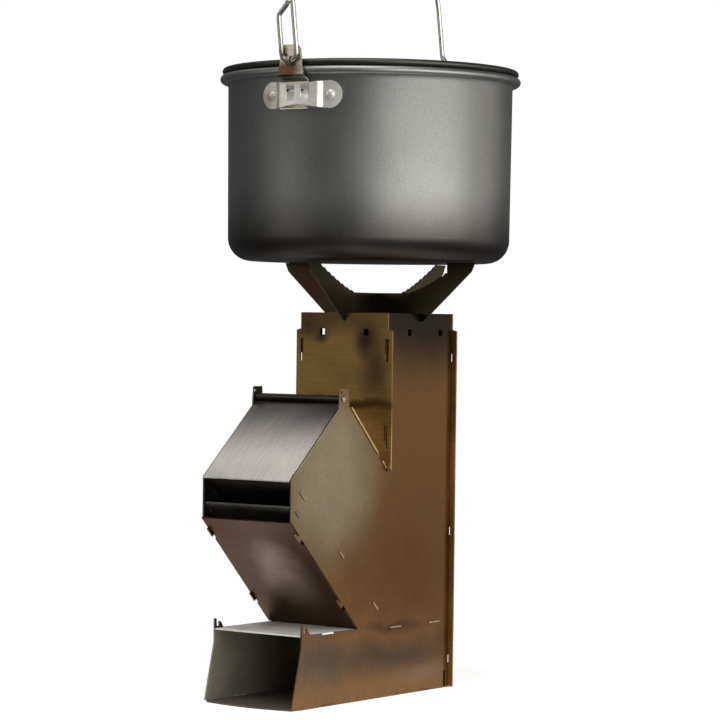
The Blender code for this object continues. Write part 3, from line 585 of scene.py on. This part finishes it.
class STOVE_OT_pot(bpy.types.Operator):
    """Build the pot's body and its lid"""
    bl_idname = "stove.pot"
    bl_label = "Pot and lid"

    def execute(self, context):
        size = context.scene.stove.pot
        wall = anodised_aluminium("hard_anodised_aluminium", "#9C9C98", "#37302A", 0.44)
        flat = size.radius - FOOT_TAPER - size.corner
        neck = POT_HEIGHT - NECK_DROP
        outer = [(0, 0)] + arc((flat, size.corner), size.corner, -90, 0, 16)
        outer += [(size.radius, neck)] + arc((size.radius + BEAD_OUT, POT_HEIGHT), size.bead, -120, 180, 24)
        inner = [(size.radius - size.wall, neck)]
        inner += arc((flat, size.corner), size.corner - size.wall, 0, -90, 14) + [(0, size.wall)]
        shell = lathe("pot_shell", outer + inner, POT_BASE)
        finish_piece(shell, wall, "pot", "anodised_aluminium", "pot_body")
        edge = (size.radius + COVER_EDGE[0], COVER_EDGE[1])
        groove = size.radius - GROOVE_IN
        bends = [(0, COVER_RISE), (COVER_FLAT * size.radius, COVER_RISE),
                 (groove - COVER_SHELF[0], COVER_SHELF[1]), (groove - GROOVE_WIDTH, -GROOVE_DROP),
                 (groove, -GROOVE_DROP), (groove + GROOVE_LIP[0], GROOVE_LIP[1]),
                 (edge[0] - COVER_EDGE_RADIUS, edge[1] - COVER_EDGE_DROP)]
        upper, lower = strip_sides(rounded(bends, COVER_BEND), SHEET)
        profile = upper[:-1] + arc(edge, COVER_EDGE_RADIUS, 160, -160, 24) + lower[:-1][::-1]
        cover = anodised_aluminium("dark_anodised_aluminium", "#56564F", "#56564F", 0.45)
        finish_piece(lathe("pot_cover", profile, RIM), cover, "pot_cover", "anodised_aluminium", "pot_lid")
        return {"FINISHED"}


def ear_mesh(name, turn, sizes, pot_radius):
    """A dog-bone ear that follows the wall, with a raised middle pierced by two slots."""
    inner = pot_radius + CLEAR
    end = sizes.length / 2 - sizes.end
    sections = []
    for i in range(EAR_SECTIONS + 1):
        reach = -sizes.length / 2 * math.cos(math.pi * i / EAR_SECTIONS)
        if abs(reach) > end:
            tall = math.sqrt(max(0, sizes.end ** 2 - (abs(reach) - end) ** 2)) + EAR_TIP
        else:
            tall = sizes.end + (sizes.waist - sizes.end) * (1 + math.cos(math.pi * reach / end)) / 2
        share = min(1, max(0, (BRIDGE_FOOT - abs(reach)) / BRIDGE_RAMP))
        low = inner + BRIDGE_RISE * share
        soft = min(EAR_SOFT, tall / 2)
        profile = [(low, -tall), (low + SHEET - soft, -tall), (low + SHEET, -tall + soft),
                   (low + SHEET, tall - soft), (low + SHEET - soft, tall), (low, tall)]
        angle = turn + reach / inner
        sections.append([
            (POT_PLACE[0] + r * math.sin(angle), POT_PLACE[1] - r * math.cos(angle), EAR_HEIGHT + z)
            for r, z in profile
        ])
    ear = loft(name, sections)
    bm = bmesh.new()
    for across in (-SLOT_ACROSS, SLOT_ACROSS):
        angle = turn + across / inner
        place = Matrix.Translation((POT_PLACE[0] + (inner + SLOT_DEPTH) * math.sin(angle),
                                    POT_PLACE[1] - (inner + SLOT_DEPTH) * math.cos(angle),
                                    EAR_HEIGHT + SLOT_UP))
        box = place @ Matrix.Rotation(turn, 4, "Z") @ Matrix.Diagonal((*SLOT_SIZE, 1))
        bmesh.ops.create_cube(bm, size=1.0, matrix=box)
    cutter = mesh_object(name + "_slots", bm)
    modifier = ear.modifiers.new("Slots", "BOOLEAN")
    modifier.object = cutter
    modifier.operation = "DIFFERENCE"
    result = baked(ear, name)
    bpy.data.objects.remove(cutter, do_unlink=True)
    return result


class STOVE_OT_ears(bpy.types.Operator):
    """Build the two ears, their rivets and the finish of the straps"""
    bl_idname = "stove.ears"
    bl_label = "Ears and rivets"

    def execute(self, context):
        sizes = context.scene.stove.ear
        radius = context.scene.stove.pot.radius
        steel = brushed_steel("pressed_ear_steel", "#F2EEE6", EAR_PATCHES, roughness=0.36, wander=0.004,
                              metallic=0.55)
        places = []
        names = []
        for label, half_turn in (("front", 0), ("back", math.pi)):
            turn = sizes.turn + half_turn
            finish_piece(ear_mesh(f"ear_plate_{label}", turn, sizes, radius), steel, "pot", "pot_steel",
                         f"ear_{label}")
            for side, word in ((-1, "left"), (1, "right")):
                angle = turn + side * RIVET_ACROSS / radius
                direction = (math.sin(angle), -math.cos(angle), 0)
                reach = radius + RIVET_SEAT
                places.append(((POT_PLACE[0] + reach * direction[0], POT_PLACE[1] + reach * direction[1],
                                EAR_HEIGHT), direction))
                names.append(f"ear_{label}_rivet_{word}")
        heads = with_nodes("ear_rivets", point_mesh(places), rivet_group(),
                           {"Radius": RIVET_RADIUS, "Dome": RIVET_DOME, "Material": steel})
        finish_piece(heads, steel, "pot", "pot_steel", *names)
        strap = brushed_steel("heat_browned_strap_steel", "#C9C2B6", STRAP_PATCHES, roughness=0.30,
                              wander=0.003)
        dress(strap, "pot_steel", "strap_front", "strap_back")
        return {"FINISHED"}


def bail_loop(sizes):
    """The long loop in front: the wire's tip beside the leg, down, round the loop and up the leg."""
    loop = sizes.loop
    tip = loop - 2 * sizes.radius - LOOP_TIP_GAP
    (upper_in, upper), (lower_in, lower) = LOOP_SLANT
    points = [(tip, LOOP_NECK), (tip - upper_in, upper), (-loop + lower_in, lower), (-loop, LOOP_STRAIGHT)]
    points += arc((0, 0), loop, 180, 360, 32) + [(loop, LOOP_STRAIGHT)]
    return [(sizes.reach, across, height) for across, height in points]


def bail_hook(sizes):
    """The short open hook at the back, from the leg down, round and up to the wire's tip."""
    loop = sizes.loop
    points = [HOOK_LEG, (loop, HOOK_STRAIGHT)] + arc((0, 0), loop, 360, 180, 32) + [(-loop, HOOK_TIP)]
    return [(-sizes.reach, across, height) for across, height in points]


class STOVE_OT_wires(bpy.types.Operator):
    """Bend the bail and the folding ring of the lid from round wire"""
    bl_idname = "stove.wires"
    bl_label = "Bail and lid ring"

    def execute(self, context):
        sizes = context.scene.stove.wire
        group = wire_group()
        steel = brushed_steel("drawn_wire_steel", "#CFCBC4", WIRE_PATCHES, roughness=0.27, grain=0.05,
                              wander=0.003)
        hoop = []
        for i in range(HOOP_STEPS + 1):
            angle = math.pi * i / HOOP_STEPS
            across = sizes.loop + (HOOK_LEG[0] - sizes.loop) * i / HOOP_STEPS
            hoop.append((sizes.reach * math.cos(angle), across, HOOP_START + sizes.rise * math.sin(angle)))
        points = bail_loop(sizes) + hoop + bail_hook(sizes)
        place = Matrix.Translation((*POT_PLACE, LOOP_HEIGHT))
        turned = place @ Matrix.Rotation(sizes.turn - math.pi / 2, 4, "Z")
        turned = turned @ Matrix.Rotation(sizes.lean, 4, "X")
        path = [turned @ Vector(p) for p in rounded(points, WIRE_BEND, 3)]
        wire = {"Radius": sizes.radius, "Sides": WIRE_SIDES, "Material": steel}
        bail = with_nodes("bail_wire", chain_mesh(path), group, wire)
        finish_piece(bail, steel, "bail", "pot_steel", "bail")
        straight = [(RING_HALF * (1 - i / 3), 0, 0) for i in range(1, 6)]
        bow = [math.pi * i / RING_STEPS for i in range(RING_STEPS + 1)]
        curve = [(-RING_HALF * math.cos(a), -RING_REACH * math.sin(a) ** RING_POWER, 0) for a in bow]
        centre = Vector((*POT_PLACE, RING_HEIGHT))
        outline = [centre + Vector(p) for p in straight + curve]
        ring = with_nodes("lid_ring_wire", chain_mesh(outline, True), group, wire)
        finish_piece(ring, steel, "lid_ring", "pot_steel", "lid_ring")
        places = [((POT_PLACE[0], POT_PLACE[1] + side * SADDLE_RIVET_ACROSS, SADDLE_RIVET_HEIGHT), (0, 0, 1))
                  for side in (-1, 1)]
        heads = with_nodes("saddle_rivets", point_mesh(places), rivet_group(),
                           {"Radius": SADDLE_RIVET_RADIUS, "Dome": RIVET_DOME, "Material": steel})
        finish_piece(heads, steel, "pot_cover", "pot_steel", "lid_rivet_1", "lid_rivet_2")
        dress(steel, "pot_steel", "lid_saddle")
        return {"FINISHED"}


def area_light(name, place, target, size, power, colour):
    """A rectangular light that faces its target."""
    data = bpy.data.lights.new(name, "AREA")
    data.shape = "RECTANGLE"
    data.size, data.size_y = size
    data.energy = power
    data.color = colour
    item = bpy.data.objects.new(name, data)
    item.location = place
    item.rotation_euler = (Vector(place) - Vector(target)).to_track_quat("Z", "Y").to_euler()
    bpy.context.scene.collection.objects.link(item)


def around(azimuth, distance, height):
    """A place round the stove: degrees from the front, towards the right."""
    angle = math.radians(azimuth)
    return (distance * math.sin(angle), -distance * math.cos(angle), height)


class STOVE_OT_stage(bpy.types.Operator):
    """Set the floor, the lights, the surroundings and the camera"""
    bl_idname = "stove.stage"
    bl_label = "Studio"

    def execute(self, context):
        scene = context.scene
        material, tree, shader = new_material("pale_studio_floor")
        where = add(tree, "ShaderNodeTexCoord").outputs["Object"]
        far = add(tree, "ShaderNodeVectorMath", {0: where}, operation="LENGTH")
        grain = add(tree, "ShaderNodeTexNoise", {"Vector": where, "Scale": 300.0})
        tone = add(tree, "ShaderNodeMapRange", {"Value": grain.outputs[0], "To Min": 0.90, "To Max": 0.95})
        share = add(tree, "ShaderNodeMapRange", {"Value": far.outputs["Value"], "From Min": FLOOR_FADE[0],
                                                 "From Max": FLOOR_FADE[1], "To Min": 0.0, "To Max": 1.0},
                    interpolation_type="SMOOTHSTEP")
        clear = add(tree, "ShaderNodeBsdfTransparent")
        mixed = add(tree, "ShaderNodeMixShader",
                    {0: share.outputs[0], 1: shader.outputs[0], 2: clear.outputs[0]})
        output = next(n for n in tree.nodes if n.type == "OUTPUT_MATERIAL")
        tree.links.new(mixed.outputs[0], output.inputs[0])
        tree.links.new(tone.outputs[0], shader.inputs["Base Color"])
        shader.inputs["Roughness"].default_value = 0.9
        shader.inputs["Emission Color"].default_value = (1.0, 1.0, 1.0, 1.0)
        shader.inputs["Emission Strength"].default_value = FLOOR_GLOW
        bm = bmesh.new()
        bmesh.ops.create_circle(bm, cap_ends=True, segments=96, radius=FLOOR_RADIUS)
        floor = mesh_object("studio_floor", bm)
        floor.location.z = -FLOOR_DROP
        floor.data.materials.append(material)
        world = bpy.data.worlds.new("pale_surroundings")
        scene.world = world
        world.use_nodes = True
        sky = world.node_tree
        sky.nodes.clear()
        soft = add(sky, "ShaderNodeBackground", {"Color": (0.9, 0.95, 1.0, 1.0), "Strength": SURROUNDINGS})
        white = add(sky, "ShaderNodeBackground", {"Color": (1.0, 1.0, 1.0, 1.0), "Strength": 1.0})
        seen = add(sky, "ShaderNodeLightPath")
        both = add(sky, "ShaderNodeMixShader", {0: seen.outputs["Is Camera Ray"], 1: soft.outputs[0],
                                                2: white.outputs[0]})
        add(sky, "ShaderNodeOutputWorld", {0: both.outputs[0]})
        for name, settings in LIGHTS.items():
            area_light(name, *settings)
        data = bpy.data.cameras.new("studio_camera")
        data.lens = LENS
        data.sensor_width = SENSOR
        camera = bpy.data.objects.new("studio_camera", data)
        aim = (Vector(CAMERA_PLACE) - Vector(TARGET)).to_track_quat("Z", "Y").to_matrix().to_4x4()
        roll = Matrix.Rotation(math.radians(CAMERA_ROLL), 4, "Z")
        camera.matrix_world = Matrix.Translation(CAMERA_PLACE) @ aim @ roll
        scene.collection.objects.link(camera)
        scene.camera = camera
        scene.view_settings.view_transform = "Standard"
        return {"FINISHED"}


class STOVE_PT_panel(bpy.types.Panel):
    bl_label = "Rocket stove"
    bl_idname = "STOVE_PT_panel"
    bl_space_type = "VIEW_3D"
    bl_region_type = "UI"
    bl_category = "Stove"

    def draw(self, context):
        settings = context.scene.stove
        for group, fields in ((settings.pot, ("radius", "wall", "corner", "bead")),
                              (settings.wire, ("radius", "reach", "loop", "rise", "lean", "turn")),
                              (settings.ear, ("length", "end", "waist", "turn"))):
            box = self.layout.box()
            for field in fields:
                box.prop(group, field)
        for operator in OPERATORS:
            self.layout.operator(operator.bl_idname)


# ------------------------------------------------- heat colours and painted light: centre, reach, tint, softness, amount

SIDE_PATCHES = [
    ((0.04, 0.00, 0.290), (0.2, 0.12, 0.075), "#2E2820", 0.7, 1.0),
    ((0.04, -0.110, 0.165), (0.2, 0.075, 0.085), "#A19479", 0.8, 1.0),
    ((0.04, -0.020, 0.090), (0.2, 0.085, 0.075), "#6E4129", 1.0, 0.55),
    ((0.04, -0.120, 0.030), (0.2, 0.060, 0.030), "#564A40", 1.0, 0.9),
    ((0.04, -0.030, 0.030), (0.2, 0.130, 0.020), "#44382D", 1.0, 0.85),
    ((0.04, 0.010, 0.014), (0.2, 0.050, 0.010), "#7A6450", 1.0, 0.7),
    ((0.04, -0.030, 0.051), (0.2, 0.060, 0.006), "#4E3424", 1.0, 0.8),
]
LEFT_PATCHES = [
    ((-0.04, 0.000, 0.200), (0.2, 0.300, 0.150), "#7E6C50", 0.2, 1.0),
]
WALL_TINTS_AND_PAINTED_LIGHT = [
    ((-0.035, -0.04, 0.275), (0.035, 0.2, 0.022), "#453623", 1.0, 0.9),
    ((0.030, -0.04, 0.240), (0.022, 0.2, 0.050), "#402B1D", 1.0, 0.8),
    ((0.020, -0.04, 0.262), (0.016, 0.2, 0.020), "#3A2A1A", 0.9, 1.0),
    ((0.000, -0.04, 0.278), (0.090, 0.2, 0.022), "#5E4A30", 1.0, 0.8),
    ((0.000, -0.04, 0.2125), (0.080, 0.2, 0.006), "#4A2A12", 0.8, 0.9),
    ((-0.020, -0.04, 0.264), (0.010, 0.2, 0.010), "#3A2A1A", 1.0, 0.9),
    # Painted light: the lower part of the wall brightened where it would otherwise reflect the dark inside.
    ((0.000, -0.04, 0.172), (0.080, 0.2, 0.036), "#C89E68", 0.4, 1.0),
]
CHUTE_TINTS_AND_PAINTED_HIGHLIGHT = [
    ((-0.030, -0.150, 0.125), (0.030, 0.2, 0.030), "#4C2C1A", 1.0, 1.0),
    # Painted highlight: a lighter pool in the middle of the chute.
    ((0.006, -0.112, 0.090), (0.034, 0.2, 0.034), "#A89688", 1.0, 0.95),
    ((0.000, -0.080, 0.062), (0.060, 0.2, 0.014), "#5E4A36", 1.0, 0.9),
]
LID_PAINTED_SHADE = [
    # Painted shade: the upper part of the hopper lid darkened, as light falls on it.
    ((0.0, -0.090, 0.222), (0.4, 0.074, 0.074), "#4E4A47", 0.85, 1.0),
]
SUPPORT_PAINTED_GLOW = [
    # Painted reflection: a reddish tint on the near arm standing in for the fire's glow.
    ((-0.060, 0.0, 0.305), (0.030, 0.4, 0.040), "#4E3028", 1.0, 0.8),
]
EAR_PATCHES = [
    ((-0.020, -0.11, 0.430), (0.020, 0.2, 0.014), "#C8C2B0", 1.0, 0.8),
]
STRAP_PATCHES = [
    ((0.003, -0.12, 0.452), (0.020, 0.02, 0.010), "#6A5038", 0.7, 1.0),
]
WIRE_PATCHES = [
    ((0.003, -0.12, 0.462), (0.020, 0.02, 0.010), "#6A5A48", 1.0, 0.8),
]

# Sheets in the order they are dressed: material, colour, finish, slot, nodes
SHEETS = [
    ("heat_tinted_side_sheet", "#7A5937", {"patches": SIDE_PATCHES, "soot": (ACROSS,)},
     "tinted_side_steel", ("side_plate_right",)),
    # Painted light: the left sheet's base colour, which shows low down in the tray, is lighter where its
    # inner face is lit.
    ("heat_tinted_side_sheet_left_painted_light", "#989284", {"patches": LEFT_PATCHES, "metallic": 0.4, "soot": (ACROSS,)},
     "tinted_side_steel", ("side_plate_left",)),
    ("heat_tinted_wall_sheet_painted_light", "#9D7C48", {"patches": WALL_TINTS_AND_PAINTED_LIGHT, "metallic": 0.8, "soot": (ACROSS, ALONG)},
     "tinted_wall_steel", ("chimney_front_plate", "chimney_back_plate")),
    # Painted light: the throat sheet is made brighter so that its reflection lights the lower wall.
    ("heat_tinted_throat_sheet_painted_bright", "#D8C090", {"roughness": 0.3}, "tinted_wall_steel", ("hopper_rear_plate",)),
    ("heat_tinted_chute_sheet_painted_highlight", "#4A3524", {"patches": CHUTE_TINTS_AND_PAINTED_HIGHLIGHT}, "tinted_side_steel",
     ("lower_chute_plate",)),
    ("brushed_tray_sheet", "#F4EFE6", {"roughness": 0.5, "metallic": 0.1}, "brushed_steel",
     ("tray_top_plate",)),
    ("brushed_inlet_sheet", "#8E8B86", {"roughness": 0.4}, "brushed_steel", ("air_inlet_slat",)),
    ("sooted_sheet", "#A08C6C", {"roughness": 0.5, "metallic": 0.5, "soot": (ACROSS,)}, "sooted_steel",
     ("fuel_ramp", "burn_grate")),
    ("ash_dusted_sheet", "#544C44", {"roughness": 0.7, "metallic": 0.1}, "sooted_steel", ("tray_floor",)),
    ("heat_tinted_support_sheet_painted_glow", "#463F30", {"patches": SUPPORT_PAINTED_GLOW}, "tinted_wall_steel",
     ("support_plate_across", "support_plate_along")),
]

# Lights: place, target, size, power, colour
LIGHTS = {
    "key_from_right": (around(80, 1.9, 0.60), MIDDLE, (3.0, 1.2), 32, (1.0, 0.99, 0.97)),
    "fill_from_front": (around(-32, 2.4, 0.9), MIDDLE, (1.2, 1.2), 5, (1.0, 0.96, 0.90)),
    "back_from_right": (around(142, 2.4, 0.5), MIDDLE, (0.9, 1.6), 4, (1.0, 0.95, 0.88)),
    "high_from_left": (around(-97, 1.1, 1.64), (0, -0.12, 0.19), (0.6, 0.6), 1.75, (1.0, 0.97, 0.94)),
    "top": ((0.2, -0.8, 2.3), MIDDLE, (1.6, 1.6), 26, (1.0, 1.0, 1.0)),
}

OPERATORS = (STOVE_OT_plates, STOVE_OT_hopper_lid, STOVE_OT_pot, STOVE_OT_ears, STOVE_OT_wires,
             STOVE_OT_stage)
CLASSES = (PotSizes, WireSizes, EarSizes, StoveSettings) + OPERATORS + (STOVE_PT_panel,)


def register():
    for item in CLASSES:
        bpy.utils.register_class(item)
    bpy.types.Scene.stove = bpy.props.PointerProperty(type=StoveSettings)


def unregister():
    del bpy.types.Scene.stove
    for item in reversed(CLASSES):
        bpy.utils.unregister_class(item)


def corners(bounds):
    """Bounds as plain lists, ready for JSON."""
    return [[float(v) for v in corner] for corner in bounds]


def main():
    """Build every piece and the studio."""
    register()
    bpy.ops.stove.plates()
    bpy.ops.stove.hopper_lid()
    bpy.ops.stove.pot()
    bpy.ops.stove.ears()
    bpy.ops.stove.wires()
    bpy.ops.stove.stage()


if __name__ == "__main__":
    main()
